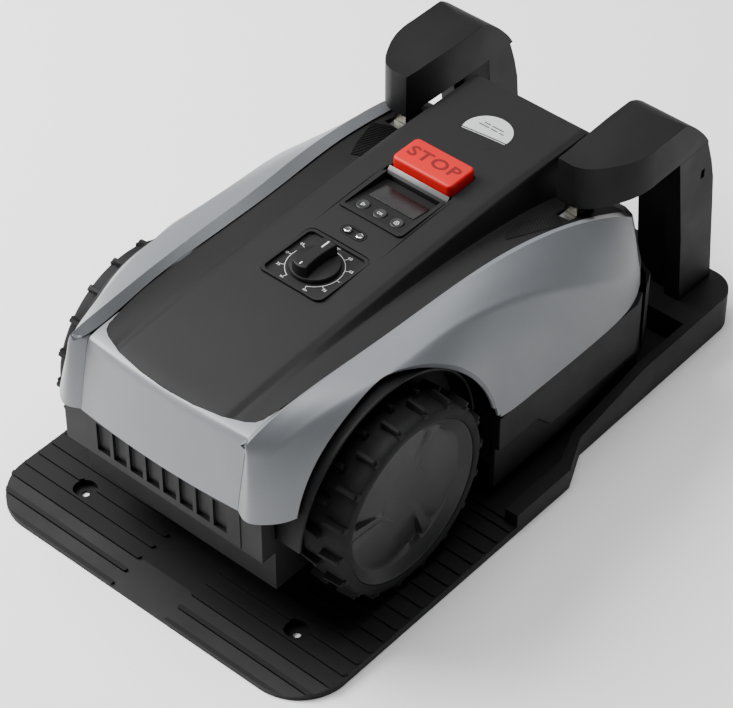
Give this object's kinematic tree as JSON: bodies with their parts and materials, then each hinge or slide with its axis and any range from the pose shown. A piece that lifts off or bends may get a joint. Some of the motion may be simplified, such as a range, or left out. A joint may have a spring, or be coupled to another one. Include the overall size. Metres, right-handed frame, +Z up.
{
  "type": "robotic lawn mower",
  "caption": "Robotic lawn mower on large rear wheels with swivelling front casters, a spinning blade disc and a height dial, parked under the arms of its charging dock.",
  "frame": {"origin": "on the ground, under the middle of the dock", "axes": "+Y is the way the mower faces when parked, from its drive wheels to the dock's arms; +Z is up; +X is the mower's right side"},
  "size_m": [0.44, 0.73, 0.3015],
  "materials": {
    "dock_plastic": "fine-grained, moulded",
    "black_plastic": "fine-grained, moulded",
    "cover_plastic": "fine spark-eroded grain",
    "silver_lacquer": "satin silver lacquer over moulded plastic",
    "red_plastic": "satin, moulded",
    "grey_plastic": "satin, moulded",
    "window_plastic": "polished",
    "button_plastic": "satin, moulded",
    "hub_plastic": "fine-grained, moulded",
    "tyre_rubber": "matte",
    "steel": "ground and brushed",
    "contact_metal": "plated",
    "motor_case": "cast",
    "battery_case": "shrink sleeve",
    "circuit_board": "lacquered"
  },
  "bodies": {
    "dock": {"dock_base": "dock_plastic", "contact_springs": "steel", "dock_circuit_board": "circuit_board", "dock_power_inlet": "black_plastic", "dock_post_left": "dock_plastic", "dock_post_right": "dock_plastic", "dock_arm_left": "dock_plastic", "dock_arm_right": "dock_plastic"},
    "contacts_l": {"charge_contacts_left": "contact_metal"},
    "contacts_r": {"charge_contacts_right": "contact_metal"},
    "mower": {"tail_fascia": "silver_lacquer", "rear_vent_band": "black_plastic", "top_cover": "cover_plastic", "chassis_tub": "black_plastic", "chassis_lid": "black_plastic", "chassis_screws": "steel", "nose_cover": "black_plastic", "control_panel": "cover_plastic", "display_window": "window_plastic", "panel_trim_strip": "grey_plastic", "stop_switch": "black_plastic", "rain_sensor_seat": "black_plastic", "rain_sensor_studs": "steel", "dial_plate": "cover_plastic", "charge_strips": "steel", "battery_pack": "battery_case", "main_board": "circuit_board", "carriage_guide_rods": "steel", "side_shell_left": "silver_lacquer", "side_shell_right": "silver_lacquer", "side_skirt_left": "black_plastic", "side_skirt_right": "black_plastic", "wheel_arch_liner_left": "black_plastic", "wheel_arch_liner_right": "black_plastic", "gear_motor_left": "motor_case", "gear_motor_right": "motor_case"},
    "bumper": {"front_bumper": "black_plastic"},
    "wheel_l": {"drive_tyre_left": "tyre_rubber", "drive_hub_left": "hub_plastic"},
    "wheel_r": {"drive_tyre_right": "tyre_rubber", "drive_hub_right": "hub_plastic"},
    "caster_l": {"caster_fork_left": "black_plastic", "caster_axle_left": "steel"},
    "caster_r": {"caster_fork_right": "black_plastic", "caster_axle_right": "steel"},
    "caster_roller_l": {"caster_wheel_left": "tyre_rubber"},
    "caster_roller_r": {"caster_wheel_right": "tyre_rubber"},
    "stop": {"stop_button": "red_plastic"},
    "play": {"play_button": "button_plastic"},
    "ok": {"ok_button": "button_plastic"},
    "lock": {"lock_button": "button_plastic"},
    "dial": {"height_dial": "black_plastic"},
    "cutter": {"cutter_carriage": "black_plastic", "blade_motor": "motor_case"},
    "disc": {"cutting_disc": "black_plastic", "blade_pins": "steel"},
    "cutter_blade_1": {"blade_1": "steel"},
    "cutter_blade_2": {"blade_2": "steel"},
    "cutter_blade_3": {"blade_3": "steel"}
  },
  "joints": [
    {"name": "mower_drive_off", "type": "slide", "parent": "dock", "child": "mower", "axis": [0, -1, 0], "range_m": [0, 0.64]},
    {"name": "bumper_push", "type": "slide", "parent": "mower", "child": "bumper", "axis": [0, -1, 0], "range_m": [0, 0.004], "stiffness_N_per_m": 2000, "springref_m": -0.002},
    {"name": "wheel_spin_l", "type": "hinge", "parent": "mower", "child": "wheel_l", "pos_m": [-0.16, -0.172, 0.123], "axis": [1, 0, 0], "continuous": true},
    {"name": "caster_swivel_l", "type": "hinge", "parent": "mower", "child": "caster_l", "pos_m": [-0.105, 0.19, 0.09], "axis": [0, 0, 1], "continuous": true},
    {"name": "caster_roll_l", "type": "hinge", "parent": "caster_l", "child": "caster_roller_l", "pos_m": [-0.105, 0.17, 0.0423], "axis": [1, 0, 0], "continuous": true},
    {"name": "contact_give_l", "type": "slide", "parent": "dock", "child": "contacts_l", "axis": [0, 0, 1], "range_m": [0, 0.004], "stiffness_N_per_m": 400, "springref_m": -0.003},
    {"name": "wheel_spin_r", "type": "hinge", "parent": "mower", "child": "wheel_r", "pos_m": [0.16, -0.172, 0.123], "axis": [1, 0, 0], "continuous": true},
    {"name": "caster_swivel_r", "type": "hinge", "parent": "mower", "child": "caster_r", "pos_m": [0.105, 0.19, 0.09], "axis": [0, 0, 1], "continuous": true},
    {"name": "caster_roll_r", "type": "hinge", "parent": "caster_r", "child": "caster_roller_r", "pos_m": [0.105, 0.17, 0.0423], "axis": [1, 0, 0], "continuous": true},
    {"name": "contact_give_r", "type": "slide", "parent": "dock", "child": "contacts_r", "axis": [0, 0, 1], "range_m": [0, 0.004], "stiffness_N_per_m": 400, "springref_m": -0.003},
    {"name": "stop_press", "type": "slide", "parent": "mower", "child": "stop", "axis": [0, 0, -1], "range_m": [0, 0.004], "stiffness_N_per_m": 1500, "springref_m": -0.002},
    {"name": "play_press", "type": "slide", "parent": "mower", "child": "play", "axis": [0, 0, -1], "range_m": [0, 0.001], "stiffness_N_per_m": 400, "springref_m": -0.001},
    {"name": "ok_press", "type": "slide", "parent": "mower", "child": "ok", "axis": [0, 0, -1], "range_m": [0, 0.001], "stiffness_N_per_m": 400, "springref_m": -0.001},
    {"name": "lock_press", "type": "slide", "parent": "mower", "child": "lock", "axis": [0, 0, -1], "range_m": [0, 0.001], "stiffness_N_per_m": 400, "springref_m": -0.001},
    {"name": "dial_turn", "type": "hinge", "parent": "mower", "child": "dial", "pos_m": [0, -0.099, 0.267], "axis": [0, 0, -1], "range_deg": [-155, 155]},
    {"name": "cutter_lift", "type": "slide", "parent": "mower", "child": "cutter", "axis": [0, 0, 1], "range_m": [-0.025, 0.025]},
    {"name": "disc_spin", "type": "hinge", "parent": "cutter", "child": "disc", "pos_m": [0, 0.06, 0.07], "axis": [0, 0, 1], "continuous": true},
    {"name": "blade_swing_1", "type": "hinge", "parent": "disc", "child": "cutter_blade_1", "pos_m": [0.05716, 0.093, 0.0677], "axis": [0, 0, 1], "continuous": true},
    {"name": "blade_swing_2", "type": "hinge", "parent": "disc", "child": "cutter_blade_2", "pos_m": [-0.05716, 0.093, 0.0677], "axis": [0, 0, 1], "continuous": true},
    {"name": "blade_swing_3", "type": "hinge", "parent": "disc", "child": "cutter_blade_3", "pos_m": [0, -0.006, 0.0677], "axis": [0, 0, 1], "continuous": true}
  ],
  "couplings": [
    {"joint": "dial_turn", "follows": "cutter_lift", "rad_per_m": 108.21}
  ]
}
